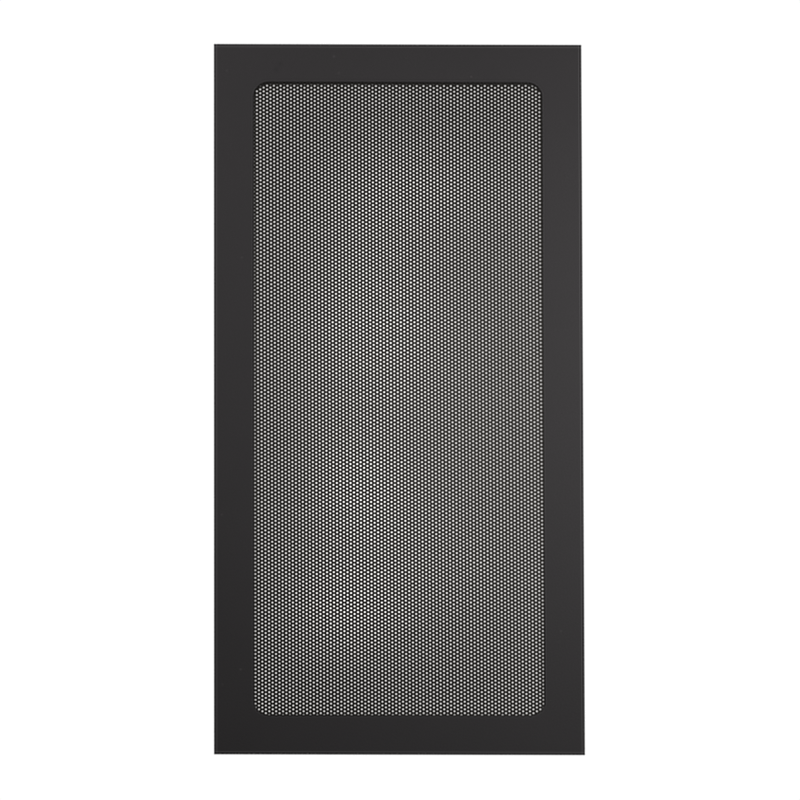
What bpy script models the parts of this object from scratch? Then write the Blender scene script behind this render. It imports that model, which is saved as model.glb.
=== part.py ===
"""Magnetic dust filter for a pair of 120 mm case fans.

A flat laminate of three layers, lying on its magnets with its face up:

    cover frame     matt black PVC sheet with a rounded window, on top
    filter mesh     one perforated PVC sheet of the full outline, in the middle
    magnet strips   four flat rubber magnets round the edge, underneath

Metres, +Z out of the face. The origin is the centre of the magnets' underside,
X runs across the filter and Y along it, towards the end that is up in use.
"""

import math

import bmesh
import bpy
from mathutils import Vector

# Outline
FILTER_WIDTH = 0.120
FILTER_LENGTH = 0.240
COVER_BORDER = 0.01285  # width of the frame round the window
WINDOW_RADIUS = 0.0050
WINDOW_ARC_STEPS = 10

# Layers
MAGNET_THICKNESS = 0.00060
MESH_THICKNESS = 0.00030
COVER_THICKNESS = 0.00050
GLUE_LINE = 0.00005  # bare space that the adhesive takes up between two layers

# Magnet strips
MAGNET_WIDTH = 0.0127  # half-inch stock
SIDE_SETBACK = 0.0005  # from the outer edge of the filter in to a side strip, and to all strip ends
END_SETBACK = 0.0007  # from the outer edge in to an end strip
STRIP_JOINT = 0.0003  # gap where an end strip butts against a side strip

# Edges
COVER_EDGE_ROUNDING = 0.00008
COVER_ROUNDING_STEPS = 2
MAGNET_EDGE_CHAMFER = 0.00008

# Perforation: round holes in columns that are staggered by half a pitch
FINE_PITCH = 0.00128  # from hole to hole along a column of the real sheet
FINE_HOLE = 0.00066  # across a hole of the real sheet
HOLES_FOR_ONE = 6  # real holes, each way, that one larger hole here stands for
HOLE_SIDES = 6
HOLE_CLEARANCE = 0.0003  # least land between a hole and the edge of what clamps the sheet

# Derived
WINDOW_WIDTH = FILTER_WIDTH - 2 * COVER_BORDER
WINDOW_LENGTH = FILTER_LENGTH - 2 * COVER_BORDER
CLAMPED_BORDER = max(COVER_BORDER, max(SIDE_SETBACK, END_SETBACK) + MAGNET_WIDTH)
MESH_FLOOR = MAGNET_THICKNESS + GLUE_LINE
COVER_FLOOR = MESH_FLOOR + MESH_THICKNESS + GLUE_LINE
HOLE_PITCH = FINE_PITCH * HOLES_FOR_ONE
SAME_AREA = math.sqrt(2 * math.pi / HOLE_SIDES / math.sin(2 * math.pi / HOLE_SIDES))
HOLE_ACROSS = FINE_HOLE * HOLES_FOR_ONE * SAME_AREA  # corner to corner, as open as round holes
COLUMN_STEP = HOLE_PITCH * math.cos(math.radians(30))

# Finishes: colour, roughness, metallic
COVER_FINISH = ((0.034, 0.033, 0.034), 0.55, 0.0)
MESH_FINISH = ((0.020, 0.019, 0.019), 0.50, 0.0)
MAGNET_FINISH = ((0.030, 0.027, 0.025), 0.70, 0.0)


def clear_scene():
    for old in list(bpy.data.objects):
        bpy.data.objects.remove(old)


def make_finish(name, finish):
    colour, roughness, metallic = finish
    material = bpy.data.materials.new(name)
    material.use_nodes = True
    shader = material.node_tree.nodes["Principled BSDF"]
    shader.inputs["Base Color"].default_value = (*colour, 1.0)
    shader.inputs["Roughness"].default_value = roughness
    shader.inputs["Metallic"].default_value = metallic
    return material


def rectangle(width, length):
    """Corners of a centred rectangle, anticlockwise from the near left one."""
    x, y = width / 2, length / 2
    return [Vector((-x, -y, 0)), Vector((x, -y, 0)), Vector((x, y, 0)), Vector((-x, y, 0))]


def rounded_rectangle(width, length, radius, steps):
    """Outline of a centred rectangle with its corners rounded in so many steps each."""
    points = []
    for quarter, corner in enumerate(rectangle(width - 2 * radius, length - 2 * radius)):
        start = math.pi + quarter * math.pi / 2
        for i in range(steps + 1):
            angle = start + i / steps * math.pi / 2
            points.append(corner + radius * Vector((math.cos(angle), math.sin(angle), 0)))
    return points


def polygon(centre, across, sides):
    """A regular polygon that measures so much across the corners, with one corner on X."""
    turn = 2 * math.pi / sides
    spokes = [Vector((math.cos(i * turn), math.sin(i * turn), 0)) for i in range(sides)]
    return [centre + across / 2 * spoke for spoke in spokes]


def spread(reach, step):
    """As many evenly spaced places as fit within the reach on both sides of zero."""
    count = int(2 * reach / step) + 1
    return [(i - (count - 1) / 2) * step for i in range(count)]


def hole_centres():
    """Centres of the staggered columns of holes, clear of the border that is clamped."""
    margin = CLAMPED_BORDER + HOLE_CLEARANCE + HOLE_ACROSS / 2
    rows = spread(FILTER_LENGTH / 2 - margin, HOLE_PITCH)
    rows_between = [y + HOLE_PITCH / 2 for y in rows[:-1]]
    centres = []
    for column, x in enumerate(spread(FILTER_WIDTH / 2 - margin, COLUMN_STEP)):
        staggered = rows_between if column % 2 else rows
        centres += [Vector((x, y, 0)) for y in staggered]
    return centres


def closed_loop(bm, points):
    corners = [bm.verts.new(p) for p in points]
    return [bm.edges.new((a, b)) for a, b in zip(corners, corners[1:] + corners[:1])]


def raise_sheet(bm, floor, thickness):
    """Thickens the flat faces in bm upwards and sets their underside at the floor height."""
    grown = bmesh.ops.extrude_face_region(bm, geom=bm.faces[:])["geom"]
    lifted = [item for item in grown if isinstance(item, bmesh.types.BMVert)]
    bmesh.ops.translate(bm, verts=lifted, vec=(0, 0, thickness))
    bmesh.ops.translate(bm, verts=bm.verts, vec=(0, 0, floor))
    bmesh.ops.recalc_face_normals(bm, faces=bm.faces)


def add_object(name, bm, material):
    mesh = bpy.data.meshes.new(name)
    bm.to_mesh(mesh)
    bm.free()
    mesh.materials.append(material)
    placed = bpy.data.objects.new(name, mesh)
    bpy.context.scene.collection.objects.link(placed)
    return placed


def round_edges(target, width, segments):
    bevel = target.modifiers.new("edge", "BEVEL")
    bevel.width = width
    bevel.segments = segments
    bevel.limit_method = "ANGLE"
    bevel.angle_limit = math.radians(40)


def make_cover_frame():
    """The die-cut face: a sheet with one large window whose corners are rounded."""
    bm = bmesh.new()
    edges = closed_loop(bm, rectangle(FILTER_WIDTH, FILTER_LENGTH))
    window = rounded_rectangle(WINDOW_WIDTH, WINDOW_LENGTH, WINDOW_RADIUS, WINDOW_ARC_STEPS)
    edges += closed_loop(bm, window)
    bmesh.ops.triangle_fill(bm, edges=edges, use_beauty=True)
    raise_sheet(bm, COVER_FLOOR, COVER_THICKNESS)
    cover = add_object("cover_frame", bm, make_finish("matt_pvc", COVER_FINISH))
    round_edges(cover, COVER_EDGE_ROUNDING, COVER_ROUNDING_STEPS)


def make_filter_mesh():
    """The perforated sheet. It reaches the outer edge all round, clamped between the layers."""
    bm = bmesh.new()
    edges = closed_loop(bm, rectangle(FILTER_WIDTH, FILTER_LENGTH))
    for centre in hole_centres():
        edges += closed_loop(bm, polygon(centre, HOLE_ACROSS, HOLE_SIDES))
    bmesh.ops.triangle_fill(bm, edges=edges, use_beauty=True)
    raise_sheet(bm, MESH_FLOOR, MESH_THICKNESS)
    add_object("filter_mesh", bm, make_finish("perforated_pvc", MESH_FINISH))


def make_magnet_strip(name, centre, width, length, material):
    bm = bmesh.new()
    bm.faces.new([bm.verts.new(centre + corner) for corner in rectangle(width, length)])
    raise_sheet(bm, 0.0, MAGNET_THICKNESS)
    strip = add_object(name, bm, material)
    round_edges(strip, MAGNET_EDGE_CHAMFER, 1)


def make_magnet_strips():
    """Two strips down the sides, and two across the ends that butt in between them."""
    rubber = make_finish("magnet_rubber", MAGNET_FINISH)
    side_x = FILTER_WIDTH / 2 - SIDE_SETBACK - MAGNET_WIDTH / 2
    end_y = FILTER_LENGTH / 2 - END_SETBACK - MAGNET_WIDTH / 2
    side_length = FILTER_LENGTH - 2 * SIDE_SETBACK
    end_length = 2 * side_x - MAGNET_WIDTH - 2 * STRIP_JOINT
    for name, x in (("side_magnet_left", -side_x), ("side_magnet_right", side_x)):
        make_magnet_strip(name, Vector((x, 0, 0)), MAGNET_WIDTH, side_length, rubber)
    for name, y in (("end_magnet_top", end_y), ("end_magnet_bottom", -end_y)):
        make_magnet_strip(name, Vector((0, y, 0)), end_length, MAGNET_WIDTH, rubber)


clear_scene()
make_magnet_strips()
make_filter_mesh()
make_cover_frame()
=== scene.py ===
import bpy
import bmesh
import math
from mathutils import Matrix, Vector


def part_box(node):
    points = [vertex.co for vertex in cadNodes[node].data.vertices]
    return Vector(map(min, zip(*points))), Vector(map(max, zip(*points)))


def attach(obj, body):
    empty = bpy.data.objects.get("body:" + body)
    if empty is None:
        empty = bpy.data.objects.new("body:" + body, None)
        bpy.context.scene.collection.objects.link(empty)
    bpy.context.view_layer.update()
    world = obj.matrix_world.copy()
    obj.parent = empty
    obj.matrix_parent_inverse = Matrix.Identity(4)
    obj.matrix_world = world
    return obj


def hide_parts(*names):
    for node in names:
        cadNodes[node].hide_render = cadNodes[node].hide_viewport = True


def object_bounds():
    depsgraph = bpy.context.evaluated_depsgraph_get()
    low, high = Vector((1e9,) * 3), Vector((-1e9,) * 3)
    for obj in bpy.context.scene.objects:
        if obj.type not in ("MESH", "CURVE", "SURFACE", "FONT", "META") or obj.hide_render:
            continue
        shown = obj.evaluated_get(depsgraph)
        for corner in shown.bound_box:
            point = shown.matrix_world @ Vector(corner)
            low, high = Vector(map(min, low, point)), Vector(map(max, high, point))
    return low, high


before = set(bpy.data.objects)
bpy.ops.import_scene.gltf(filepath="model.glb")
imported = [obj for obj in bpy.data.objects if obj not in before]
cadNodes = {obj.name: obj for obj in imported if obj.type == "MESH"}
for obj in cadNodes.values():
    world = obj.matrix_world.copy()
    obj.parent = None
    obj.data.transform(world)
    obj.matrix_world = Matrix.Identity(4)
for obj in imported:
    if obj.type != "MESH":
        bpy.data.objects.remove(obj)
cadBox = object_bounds()
meshLow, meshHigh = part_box("filter_mesh")
sideMagnetLow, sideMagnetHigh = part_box("side_magnet_right")
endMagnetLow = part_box("end_magnet_top")[0]
print("frame loaded:", len(cadNodes), "nodes")


# helpers for objects and node trees
def addObject(name, data):
    added = bpy.data.objects.new(name, data)
    bpy.context.scene.collection.objects.link(added)
    return added


def feed(tree, socket, value):
    # a value is either another node's output or a plain constant
    if isinstance(value, bpy.types.NodeSocket):
        tree.links.new(value, socket)
    else:
        socket.default_value = value


def addNode(tree, kind, inputs=None, **settings):
    node = tree.nodes.new(kind)
    for name, value in settings.items():
        setattr(node, name, value)
    for key, value in (inputs or {}).items():
        feed(tree, node.inputs[key], value)
    return node


def mathNode(tree, operation, a, b=0.0, c=0.0):
    return addNode(tree, "ShaderNodeMath", {0: a, 1: b, 2: c}, operation=operation).outputs[0]


def vectorNode(tree, operation, a, b=(0.0, 0.0, 0.0)):
    node = addNode(tree, "ShaderNodeVectorMath", {0: a, 1: b}, operation=operation)
    return node.outputs["Value" if operation in ("LENGTH", "DOT_PRODUCT") else "Vector"]


def scaled(tree, vector, scale):
    return addNode(tree, "ShaderNodeVectorMath", {0: vector, "Scale": scale},
                   operation="SCALE").outputs["Vector"]


def alongZ(tree, amount):
    return addNode(tree, "ShaderNodeCombineXYZ", {"Z": amount}).outputs[0]


def fadeOut(tree, squaredSteps):
    # a soft bell: 1 at the middle, 0.6 at one step from it
    return mathNode(tree, "EXPONENT", mathNode(tree, "MULTIPLY", squaredSteps, -0.5))


def blot(tree, place, centre, reach):
    # one soft patch in the plane of the filter
    offset = vectorNode(tree, "SUBTRACT", place, (*centre, 0.0))
    steps = vectorNode(tree, "DIVIDE", offset, (*reach, 1.0))
    return fadeOut(tree, vectorNode(tree, "DOT_PRODUCT", steps, steps))


# finishes
coverFinish = {
    "colour": (0.0308, 0.0275, 0.0289),
    "sheenTint": (1.0, 1.0, 1.0),
    "roughness": 0.60,
    "specular": 0.35,
    "mottleSize": 0.018,
    "mottleDetail": 3.0,
    "mottleDepth": 0.06,
    "grainSize": 0.00035,
    "grainDetail": 2.0,
    "grainDepth": 0.00003,
    "specks": (  # centre, reach, change of the shade: dust grains, and a dull smudge near one corner
        ((-0.0514, -0.0917), 0.00025, 1.0), ((-0.0208, 0.1158), 0.00025, 0.8),
        ((-0.0575, -0.0397), 0.00025, 0.6), ((0.0524, -0.0786), 0.00025, 0.6),
        ((0.0240, 0.1090), 0.00020, 0.9), ((-0.0192, 0.1102), 0.00030, 0.4),
        ((-0.0509, 0.0473), 0.00025, 0.5), ((-0.0573, -0.0967), 0.00025, 0.5),
        ((-0.0558, 0.1109), 0.00025, 0.4),
        ((-0.0384, 0.1132), 0.00055, -0.20), ((-0.0396, 0.1113), 0.00060, -0.18),
    ),
}

meshFinish = {
    "colour": (0.0038, 0.0034, 0.0030),
    "sheenTint": (1.0, 0.94, 0.87),  # a faint warm cast on what it reflects
    "roughness": 0.42,
    "specular": 0.49,
    "mottleSize": 0.012,
    "mottleDetail": 3.0,
    "mottleDepth": 0.08,
    "grainSize": 0.00012,
    "grainDetail": 2.0,
    "grainDepth": 0.00001,
    "specks": (),
}

magnetFinish = {
    "colour": (0.030, 0.027, 0.025),
    "sheenTint": (1.0, 1.0, 1.0),
    "roughness": 0.70,
    "specular": 0.30,
    "streakSize": (0.0006, 0.020, 0.0006),  # across the strip, along it and up
    "streakDetail": 3.0,
    "streakDepth": 0.20,
    "streakRelief": 0.00002,
}


def startFinish(name, spec):
    material = bpy.data.materials.new(name)
    material.use_nodes = True
    tree = material.node_tree
    shader = tree.nodes["Principled BSDF"]
    shader.inputs["Roughness"].default_value = spec["roughness"]
    shader.inputs["Specular IOR Level"].default_value = spec["specular"]
    shader.inputs["Specular Tint"].default_value = (*spec["sheenTint"], 1.0)
    place = addNode(tree, "ShaderNodeTexCoord").outputs["Object"]
    return material, tree, shader, place


def noise(tree, place, size, detail):
    return addNode(tree, "ShaderNodeTexNoise",
                   {"Vector": place, "Scale": 1 / size, "Detail": detail}).outputs["Fac"]


def shadeFrom(tree, pattern, depth):
    # varies about 1, by the depth either way
    return addNode(tree, "ShaderNodeMapRange",
                   {"Value": pattern, "To Min": 1 - depth, "To Max": 1 + depth}).outputs[0]


def roughen(tree, shader, pattern, depth):
    bump = addNode(tree, "ShaderNodeBump", {"Height": pattern, "Distance": depth})
    feed(tree, shader.inputs["Normal"], bump.outputs[0])


def makePvcFinish(name, spec):
    # faintly cloudy in shade and finely grained, with the specks that lie on it
    material, tree, shader, place = startFinish(name, spec)
    mottle = noise(tree, place, spec["mottleSize"], spec["mottleDetail"])
    shade = shadeFrom(tree, mottle, spec["mottleDepth"])
    for centre, reach, change in spec["specks"]:
        shade = mathNode(tree, "MULTIPLY_ADD", blot(tree, place, centre, (reach, reach)), change, shade)
    feed(tree, shader.inputs["Base Color"], scaled(tree, spec["colour"], shade))
    roughen(tree, shader, noise(tree, place, spec["grainSize"], spec["grainDetail"]), spec["grainDepth"])
    return material


def makeMagnetFinish(name, spec, alongX):
    # calendered rubber keeps faint streaks along the strip
    material, tree, shader, place = startFinish(name, spec)
    across, along, up = spec["streakSize"]
    sizes = (along, across, up) if alongX else (across, along, up)
    streak = noise(tree, vectorNode(tree, "DIVIDE", place, sizes), 1.0, spec["streakDetail"])
    shade = shadeFrom(tree, streak, spec["streakDepth"])
    feed(tree, shader.inputs["Base Color"], scaled(tree, spec["colour"], shade))
    roughen(tree, shader, streak, spec["streakRelief"])
    return material


def dress(node, material):
    node.data.materials.clear()
    node.data.materials.append(material)


sideRubber = makeMagnetFinish("sideMagnetFinish", magnetFinish, False)
endRubber = makeMagnetFinish("endMagnetFinish", magnetFinish, True)
perforatedPvc = makePvcFinish("perforatedPvcFinish", meshFinish)
dress(cadNodes["cover_frame"], makePvcFinish("mattPvcFinish", coverFinish))
for side in ("left", "right"):
    dress(cadNodes["side_magnet_" + side], sideRubber)
for end in ("top", "bottom"):
    dress(cadNodes["end_magnet_" + end], endRubber)
print("finishes made")


# the perforated sheet, at its real pitch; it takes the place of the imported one, whose holes are larger
perforatedSheet = {
    "pitch": 0.0012812,
    "holeDiameter": 0.00066,
    "holeSides": 12,
    "sizeVariation": 0.03,  # of the hole diameter, either way
    "seed": 7,
    "drawsApart": 4096.0,  # keeps the random draws of one column off those of the next
    "turn": math.radians(0.157),  # of the columns from the length of the filter
    "start": (-0.00023, -0.00054, 0.0),  # a hole centre near the middle
    # how the film is pulled out of true: powers of x and y over the window, and the shift in x and y
    "stretch": (
        (0, 1, -0.00001, -0.00021), (0, 2, 0.00005, 0.00016), (0, 3, 0.00003, 0.00021),
        (1, 0, -0.00005, 0.00002), (1, 2, 0.00009, -0.00005), (2, 0, 0.00001, 0.00006),
        (2, 1, 0.0, 0.00008),
    ),
    "stretchReach": (0.0473, 0.1073),  # where x and y count as 1 in those powers
    "firstColumn": -43,
    "firstRow": -85,
    "rows": 171,
    "stripColumns": (18, 18, 18, 17, 17),
    "weld": 0.000005,  # corners that lie closer than this become one
    "sharpAngle": math.radians(40),
}

sheetInputs = {
    "First Column": "Int", "Columns": "Int", "First Row": "Int", "Rows": "Int",
    "Pitch": "Float", "Hole Diameter": "Float", "Hole Sides": "Int", "Size Variation": "Float",
    "Seed": "Int", "Turn": "Float", "Start": "Vector", "Underside": "Float", "Thickness": "Float",
    "Width": "Float", "Length": "Float", "Finish": "Material",
}


def startTree(name):
    tree = bpy.data.node_groups.new(name, "GeometryNodeTree")
    for inputName, kind in sheetInputs.items():
        tree.interface.new_socket(inputName, in_out="INPUT", socket_type="NodeSocket" + kind)
    tree.interface.new_socket("Geometry", in_out="OUTPUT", socket_type="NodeSocketGeometry")
    return tree, addNode(tree, "NodeGroupInput").outputs, addNode(tree, "NodeGroupOutput").inputs


def joinUp(tree, *parts):
    joined = addNode(tree, "GeometryNodeJoinGeometry")
    for part in parts:
        tree.links.new(part, joined.inputs[0])
    return joined.outputs[0]


def fillIn(tree, loops):
    return addNode(tree, "GeometryNodeFillCurve", {"Curve": loops}, mode="TRIANGLES").outputs[0]


def weld(tree, geometry, distance):
    return addNode(tree, "GeometryNodeMergeByDistance",
                   {"Geometry": geometry, "Distance": distance}).outputs[0]


def positionField(tree):
    return addNode(tree, "GeometryNodeInputPosition").outputs[0]


def shiftPoints(tree, geometry, offset, **others):
    return addNode(tree, "GeometryNodeSetPosition",
                   {"Geometry": geometry, "Offset": offset, **others}).outputs[0]


def keepAttribute(tree, geometry, name, kind, value):
    return addNode(tree, "GeometryNodeStoreNamedAttribute",
                   {"Geometry": geometry, "Name": name, "Value": value},
                   data_type=kind, domain="POINT").outputs[0]


def keptAttribute(tree, name, kind):
    return addNode(tree, "GeometryNodeInputNamedAttribute", {"Name": name},
                   data_type=kind).outputs["Attribute"]


def latticeSpots(tree, size):
    # column, row and centre of every hole, counted off column by column
    index = addNode(tree, "GeometryNodeInputIndex").outputs[0]
    columnsPast = mathNode(tree, "DIVIDE", mathNode(tree, "ADD", index, 0.5), size["Rows"])
    columnAt = mathNode(tree, "FLOOR", columnsPast)
    rowAt = mathNode(tree, "SUBTRACT", index, mathNode(tree, "MULTIPLY", columnAt, size["Rows"]))
    column = mathNode(tree, "ADD", columnAt, size["First Column"])
    row = mathNode(tree, "ADD", rowAt, size["First Row"])
    stagger = mathNode(tree, "MULTIPLY", mathNode(tree, "FLOORED_MODULO", column, 2.0), 0.5)
    columnStep = mathNode(tree, "MULTIPLY", size["Pitch"], math.cos(math.radians(30)))
    spot = addNode(tree, "ShaderNodeCombineXYZ", {
        "X": mathNode(tree, "MULTIPLY", column, columnStep),
        "Y": mathNode(tree, "MULTIPLY", mathNode(tree, "ADD", row, stagger), size["Pitch"]),
    }).outputs[0]
    turned = addNode(tree, "ShaderNodeVectorRotate", {"Vector": spot, "Angle": size["Turn"]},
                     rotation_type="Z_AXIS").outputs[0]
    return column, row, vectorNode(tree, "ADD", turned, size["Start"])


def polygonCurve(tree, sides, radius):
    return addNode(tree, "GeometryNodeCurvePrimitiveCircle",
                   {"Resolution": sides, "Radius": radius}).outputs[0]


def holedCell(tree, holeSides, rimRadius, holeRadius):
    # one flat hexagon with a round hole in it
    rim = polygonCurve(tree, 6, rimRadius)
    hole = polygonCurve(tree, holeSides, holeRadius)
    return fillIn(tree, joinUp(tree, rim, hole))


def stretchShift(tree, place, spec):
    # the sum of the stretch terms at each place
    split = addNode(tree, "ShaderNodeSeparateXYZ", {0: place})
    across = mathNode(tree, "DIVIDE", split.outputs[0], spec["stretchReach"][0])
    along = mathNode(tree, "DIVIDE", split.outputs[1], spec["stretchReach"][1])
    total = (0.0, 0.0, 0.0)
    for powerX, powerY, shiftX, shiftY in spec["stretch"]:
        amount = mathNode(tree, "MULTIPLY", mathNode(tree, "POWER", across, powerX),
                          mathNode(tree, "POWER", along, powerY))
        total = vectorNode(tree, "ADD", total, scaled(tree, (shiftX, shiftY, 0.0), amount))
    return total


def makeCellField(spec):
    # flat cells side by side, one hole in each; the corners of their rims are marked for the border
    tree, size, result = startTree("cellField")
    column, row, centre = latticeSpots(tree, size)
    holeNumber = mathNode(tree, "ADD", mathNode(tree, "MULTIPLY", column, spec["drawsApart"]), row)
    chance = addNode(tree, "FunctionNodeRandomValue", {
        2: mathNode(tree, "SUBTRACT", 1.0, size["Size Variation"]),  # the least
        3: mathNode(tree, "ADD", 1.0, size["Size Variation"]),  # the most
        "ID": holeNumber, "Seed": size["Seed"],
    }, data_type="FLOAT").outputs[1]
    count = mathNode(tree, "MULTIPLY", size["Columns"], size["Rows"])
    points = addNode(tree, "GeometryNodePoints", {"Count": count, "Position": centre}).outputs[0]
    points = keepAttribute(tree, points, "holeCentre", "FLOAT_VECTOR", centre)
    points = keepAttribute(tree, points, "holeScale", "FLOAT", chance)

    rimRadius = mathNode(tree, "DIVIDE", size["Pitch"], math.sqrt(3))
    holeRadius = mathNode(tree, "DIVIDE", size["Hole Diameter"], 2.0)
    placed = addNode(tree, "GeometryNodeInstanceOnPoints", {
        "Points": points,
        "Instance": holedCell(tree, size["Hole Sides"], rimRadius, holeRadius),
        "Rotation": alongZ(tree, size["Turn"]),
    }).outputs[0]
    cells = addNode(tree, "GeometryNodeRealizeInstances", {"Geometry": placed}).outputs[0]

    # holes grow or shrink about their centres, and rims stay
    holeCentre = keptAttribute(tree, "holeCentre", "FLOAT_VECTOR")
    spoke = vectorNode(tree, "SUBTRACT", positionField(tree), holeCentre)
    betweenRadii = mathNode(tree, "DIVIDE", mathNode(tree, "ADD", rimRadius, holeRadius), 2.0)
    onRim = mathNode(tree, "GREATER_THAN", vectorNode(tree, "LENGTH", spoke), betweenRadii)
    cells = keepAttribute(tree, cells, "cellRim", "BOOLEAN", onRim)
    notRim = addNode(tree, "FunctionNodeBooleanMath", {0: keptAttribute(tree, "cellRim", "BOOLEAN")},
                     operation="NOT").outputs[0]
    growth = mathNode(tree, "SUBTRACT", keptAttribute(tree, "holeScale", "FLOAT"), 1.0)
    cells = shiftPoints(tree, cells, scaled(tree, spoke, growth), Selection=notRim)
    cells = shiftPoints(tree, cells, alongZ(tree, size["Underside"]))
    cells = weld(tree, cells, spec["weld"])
    cells = shiftPoints(tree, cells, stretchShift(tree, positionField(tree), spec))
    tree.links.new(cells, result[0])
    return tree


def thicken(tree, flat, size, spec):
    # raises a flat sheet to its thickness and closes its underside
    raised = addNode(tree, "GeometryNodeExtrudeMesh",
                     {"Mesh": flat, "Offset Scale": size["Thickness"], "Individual": False},
                     mode="FACES").outputs[0]
    underside = addNode(tree, "GeometryNodeFlipFaces", {"Mesh": flat}).outputs[0]
    closed = weld(tree, joinUp(tree, raised, underside), spec["weld"])
    for name in ("cellRim", "holeCentre", "holeScale"):
        closed = addNode(tree, "GeometryNodeRemoveAttribute", {"Geometry": closed, "Name": name}).outputs[0]
    single = addNode(tree, "GeometryNodeRealizeInstances", {"Geometry": closed}).outputs[0]
    return addNode(tree, "GeometryNodeSetMaterial",
                   {"Geometry": single, "Material": size["Finish"]}).outputs[0]


def useField(tree, size, field):
    group = addNode(tree, "GeometryNodeGroup", node_tree=field)
    for name in sheetInputs:
        tree.links.new(size[name], group.inputs[name])
    return group.outputs[0]


def makeStripTree(field, spec):
    tree, size, result = startTree("perforatedStrip")
    tree.links.new(thicken(tree, useField(tree, size, field), size, spec), result[0])
    return tree


def makeBorderTree(field, spec):
    # the plain margin between the last holes and the outline
    tree, size, result = startTree("sheetBorder")
    flat = useField(tree, size, field)
    facesOfEdge = addNode(tree, "GeometryNodeInputMeshEdgeNeighbors").outputs[0]
    lone = addNode(tree, "FunctionNodeCompare", {2: facesOfEdge, 3: 1},  # an edge with one face
                   data_type="INT", operation="EQUAL").outputs[0]
    onRim = keptAttribute(tree, "cellRim", "BOOLEAN")
    outer = addNode(tree, "FunctionNodeBooleanMath", {0: lone, 1: onRim}, operation="AND").outputs[0]
    zigzag = addNode(tree, "GeometryNodeMeshToCurve", {"Mesh": flat, "Selection": outer}).outputs[0]
    outline = addNode(tree, "GeometryNodeCurvePrimitiveQuadrilateral",
                      {"Width": size["Width"], "Height": size["Length"]}).outputs[0]
    ring = fillIn(tree, joinUp(tree, outline, zigzag))
    flatPlace = vectorNode(tree, "MULTIPLY", positionField(tree), (1.0, 1.0, 0.0))
    level = shiftPoints(tree, ring, alongZ(tree, size["Underside"]), Position=flatPlace)
    tree.links.new(thicken(tree, level, size, spec), result[0])
    return tree


def makeSheetPiece(name, tree, values, sharpAngle):
    piece = addObject(name, bpy.data.meshes.new(name))
    modifier = piece.modifiers.new("nodes", "NODES")
    modifier.node_group = tree
    for item in tree.interface.items_tree:
        if item.in_out == "INPUT":
            modifier[item.identifier] = values[item.name]
    evaluated = piece.evaluated_get(bpy.context.evaluated_depsgraph_get())
    finished = bpy.data.meshes.new_from_object(evaluated)
    piece.modifiers.remove(modifier)
    finished.materials.clear()
    finished.materials.append(values["Finish"])
    piece.data = finished
    finished.shade_smooth()
    finished.set_sharp_from_angle(angle=sharpAngle)
    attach(piece, "root")
    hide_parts("filter_mesh")
    finished.calc_loop_triangles()
    print(" ", name, len(finished.loop_triangles), "triangles")


def makePerforatedSheet(spec, finish):
    field = makeCellField(spec)
    values = {
        "First Column": spec["firstColumn"], "Columns": sum(spec["stripColumns"]),
        "First Row": spec["firstRow"], "Rows": spec["rows"], "Pitch": spec["pitch"],
        "Hole Diameter": spec["holeDiameter"], "Hole Sides": spec["holeSides"],
        "Size Variation": spec["sizeVariation"], "Seed": spec["seed"], "Turn": spec["turn"],
        "Start": spec["start"], "Underside": meshLow.z, "Thickness": meshHigh.z - meshLow.z,
        "Width": meshHigh.x - meshLow.x, "Length": meshHigh.y - meshLow.y, "Finish": finish,
    }
    makeSheetPiece("sheet_border", makeBorderTree(field, spec), values, spec["sharpAngle"])
    stripTree = makeStripTree(field, spec)
    column = spec["firstColumn"]
    for number, columns in enumerate(spec["stripColumns"], 1):
        stripValues = {**values, "First Column": column, "Columns": columns}
        makeSheetPiece("sheet_strip_" + str(number), stripTree, stripValues, spec["sharpAngle"])
        column += columns


makePerforatedSheet(perforatedSheet, perforatedPvc)
print("perforated sheet made")


magnetCorner = {
    "radius": 0.0042,  # of the rounding where two strips of the magnet meet
    "arcSteps": 12,
}


def makeMagnetCorner(name, spec, corner, sideX, sideY, finish):
    # fills the square corner between two strips, up to an arc that touches both, and is as deep as they are
    outline = [(corner.x, corner.y)]
    for step in range(spec["arcSteps"] + 1):
        angle = math.radians(90 * step / spec["arcSteps"])
        outline.append((corner.x - sideX * spec["radius"] * (1 - math.cos(angle)),
                        corner.y - sideY * spec["radius"] * (1 - math.sin(angle))))
    form = bmesh.new()
    heights = (sideMagnetLow.z, sideMagnetHigh.z)
    lower, upper = ([form.verts.new((x, y, z)) for x, y in outline] for z in heights)
    for step in range(1, len(outline) - 1):
        form.faces.new((lower[0], lower[step], lower[step + 1]))
        form.faces.new((upper[0], upper[step + 1], upper[step]))
    for at in range(len(outline)):
        after = (at + 1) % len(outline)
        form.faces.new((lower[after], lower[at], upper[at], upper[after]))
    bmesh.ops.recalc_face_normals(form, faces=form.faces)
    mesh = bpy.data.meshes.new(name)
    form.to_mesh(mesh)
    form.free()
    mesh.materials.append(finish)
    piece = addObject(name, mesh)
    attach(piece, "root")


for endName, sideY in (("top", 1), ("bottom", -1)):
    for sideName, sideX in (("left", -1), ("right", 1)):
        cornerName = "magnet_corner_" + endName + "_" + sideName
        inner = Vector((sideX * sideMagnetLow.x, sideY * endMagnetLow.y))
        makeMagnetCorner(cornerName, magnetCorner, inner, sideX, sideY, endRubber)
print("magnet corners made")


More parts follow.
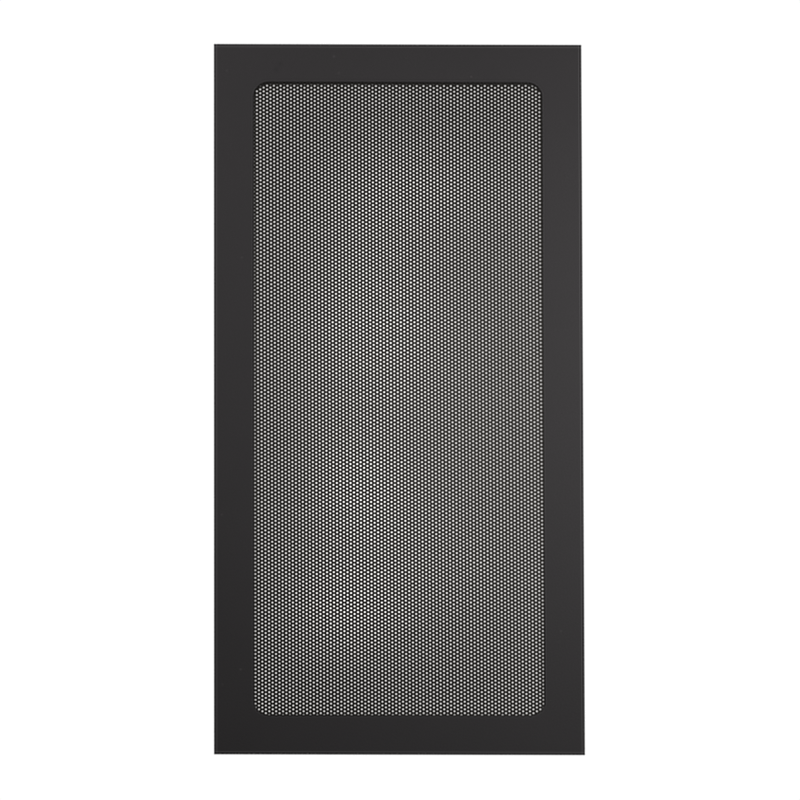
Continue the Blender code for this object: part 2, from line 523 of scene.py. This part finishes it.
# floor, light and camera
floor = {
    "size": 8.0,
    "gap": 0.00002,  # below the magnets
    "brightness": 1.02,
    "dimInset": 0.002,  # from the outline of the filter in to where the painted shade under it begins
    "edgeGlow": 0.622,  # of the table under the filter, dimmed as painted shade, away from the painted glows
    "warmth": (1.018, 1.0, 0.982),  # colour of the light that comes up through the holes
    "shadeReach": 0.0010,  # painted shade: the table's light is dimmed a little beside the magnets
    "sideShade": 0.20,
    "endShade": 0.08,
    "glows": (  # painted pools of light on the table under the filter: centre, reach, strength
        ((-0.013, -0.031), (0.011, 0.013), 0.30),
        ((-0.008, 0.025), (0.019, 0.030), 0.37),
        ((0.006, 0.072), (0.023, 0.012), 0.20),
        ((0.002, -0.054), (0.026, 0.021), 0.185),
        ((-0.017, -0.070), (0.012, 0.012), 0.27),
    ),
}


def makeFloor(spec):
    half = spec["size"] / 2
    signs = ((-1, -1), (1, -1), (1, 1), (-1, 1))
    corners = [(half * signX, half * signY, -spec["gap"]) for signX, signY in signs]
    mesh = bpy.data.meshes.new("floor")
    mesh.from_pydata(corners, [], [(0, 1, 2, 3)])
    material = bpy.data.materials.new("floorWithPaintedLightAndShade")
    material.use_nodes = True
    tree = material.node_tree
    tree.nodes.remove(tree.nodes["Principled BSDF"])
    place = addNode(tree, "ShaderNodeTexCoord").outputs["Object"]
    glow = spec["edgeGlow"]
    # painted light: soft bright patches added to the table's glow under the filter
    for centre, reach, strength in spec["glows"]:
        glow = mathNode(tree, "MULTIPLY_ADD", blot(tree, place, centre, reach), strength, glow)
    split = addNode(tree, "ShaderNodeSeparateXYZ", {0: place})
    under = 1.0
    edges = (
        (split.outputs[0], sideMagnetLow.x, cadBox[1].x, spec["sideShade"]),
        (split.outputs[1], endMagnetLow.y, cadBox[1].y, spec["endShade"]),
    )
    for coordinate, magnetEdge, outerEdge, depth in edges:
        # painted shade on the table beside each magnet's inner edge
        away = mathNode(tree, "ABSOLUTE", coordinate)
        steps = mathNode(tree, "DIVIDE", mathNode(tree, "SUBTRACT", away, magnetEdge), spec["shadeReach"])
        shade = fadeOut(tree, mathNode(tree, "MULTIPLY", steps, steps))
        glow = mathNode(tree, "MULTIPLY", glow, mathNode(tree, "MULTIPLY_ADD", shade, -depth, 1.0))
        # painted shade: under the filter the table is dimmer than round it
        inside = mathNode(tree, "LESS_THAN", away, outerEdge - spec["dimInset"])
        under = mathNode(tree, "MULTIPLY", under, inside)
    drop = mathNode(tree, "SUBTRACT", glow, spec["brightness"])
    strength = mathNode(tree, "MULTIPLY_ADD", under, drop, spec["brightness"])
    cast = addNode(tree, "ShaderNodeMix",  # white round the filter, a little warmer under it
                   {0: under, 6: (1.0, 1.0, 1.0, 1.0), 7: (*spec["warmth"], 1.0)},
                   data_type="RGBA").outputs[2]
    emission = addNode(tree, "ShaderNodeEmission", {"Color": cast, "Strength": strength})
    tree.links.new(emission.outputs[0], tree.nodes["Material Output"].inputs["Surface"])
    mesh.materials.append(material)
    addObject("floor", mesh)


makeFloor(floor)

softboxes = {
    "leftSoftbox": {"place": (-0.20, 0.19, 0.20), "size": 0.15, "power": 0.320},
    "rightSoftbox": {"place": (0.20, 0.06, 0.20), "size": 0.15, "power": 0.532},
    "overSoftbox": {"place": (0.035, 0.080, 0.30), "size": 0.08, "power": 0.096},
}


def makeSoftbox(name, spec):
    light = bpy.data.lights.new(name, "AREA")
    light.size = spec["size"]
    light.energy = spec["power"]
    lamp = addObject(name, light)
    lamp.location = spec["place"]
    lamp.rotation_euler = Vector(spec["place"]).to_track_quat("Z", "Y").to_euler()  # shines at the filter
    lamp.visible_camera = False


for softboxName, softbox in softboxes.items():
    makeSoftbox(softboxName, softbox)

studio = {
    "fill": 0.02,  # what the white room adds to the light on the filter
    "seen": 1.02,  # how bright the room is to the camera
}


def makeStudio(spec):
    world = bpy.data.worlds.new("studio")
    bpy.context.scene.world = world
    world.use_nodes = True
    tree = world.node_tree
    byCamera = addNode(tree, "ShaderNodeLightPath").outputs["Is Camera Ray"]
    level = addNode(tree, "ShaderNodeMapRange",
                    {"Value": byCamera, "To Min": spec["fill"], "To Max": spec["seen"]}).outputs[0]
    feed(tree, tree.nodes["Background"].inputs["Color"], (1.0, 1.0, 1.0, 1.0))
    feed(tree, tree.nodes["Background"].inputs["Strength"], level)


makeStudio(studio)

camera = {
    "lens": 958.60,
    "sensor": 36.0,
    "tilt": 16.020806,  # the top end of the filter leans away from the camera
    "side": 1.020917,
    "roll": -0.138852,
    "distance": 6.924089,
    "aside": (-0.00048555, 0.00038509),  # of the filter's centre from the line of sight
}


def makeCamera(spec):
    data = bpy.data.cameras.new("camera")
    data.lens = spec["lens"]
    data.sensor_width = spec["sensor"]
    eye = addObject("camera", data)
    view = Matrix.Translation((*spec["aside"], -spec["distance"]))
    for angle, axis in ((spec["roll"], "Z"), (spec["side"], "Y"), (-spec["tilt"], "X")):
        view = view @ Matrix.Rotation(math.radians(angle), 4, axis)
    eye.matrix_world = view.inverted()
    bpy.context.scene.camera = eye


makeCamera(camera)
bpy.context.scene.view_settings.view_transform = "Standard"

edgeRipple = {
    "displayGamma": 2.2,  # the picture is worked on as it is seen, not in linear light
    "shares": (6.40, -11.00, 5.60),  # of the picture softened once, twice and three times
    "whiteFrom": 0.995,  # bare background from here up, which stays as it is
}


def blendNode(tree, kind, a, b, share=1.0):
    return addNode(tree, "CompositorNodeMixRGB", {0: share, 1: a, 2: b}, blend_type=kind).outputs[0]


def addEdgeRipple(spec):
    # sums softened copies, which gives the fine ripple that scaling a photo down leaves along its edges
    scene = bpy.context.scene
    scene.use_nodes = True
    tree = scene.node_tree
    tree.nodes.clear()
    picture = addNode(tree, "CompositorNodeRLayers").outputs["Image"]
    shown = addNode(tree, "CompositorNodeGamma",
                    {"Image": picture, "Gamma": 1 / spec["displayGamma"]}).outputs[0]
    softened = shown
    total = (0.0, 0.0, 0.0, 1.0)
    for share in spec["shares"]:
        softened = addNode(tree, "CompositorNodeFilter", {"Image": softened},
                           filter_type="SOFTEN").outputs[0]
        part = blendNode(tree, "MULTIPLY", softened, (abs(share), abs(share), abs(share), 1.0))
        total = blendNode(tree, "ADD" if share > 0 else "SUBTRACT", total, part)
    brightness = addNode(tree, "CompositorNodeRGBToBW", {"Image": shown}).outputs[0]
    bare = addNode(tree, "CompositorNodeMath", {0: brightness, 1: spec["whiteFrom"]},
                   operation="GREATER_THAN").outputs[0]
    crisp = blendNode(tree, "MIX", total, shown, bare)
    light = addNode(tree, "CompositorNodeGamma",
                    {"Image": crisp, "Gamma": spec["displayGamma"]}).outputs[0]
    addNode(tree, "CompositorNodeComposite", {"Image": light})


addEdgeRipple(edgeRipple)
print("floor, light and camera made")
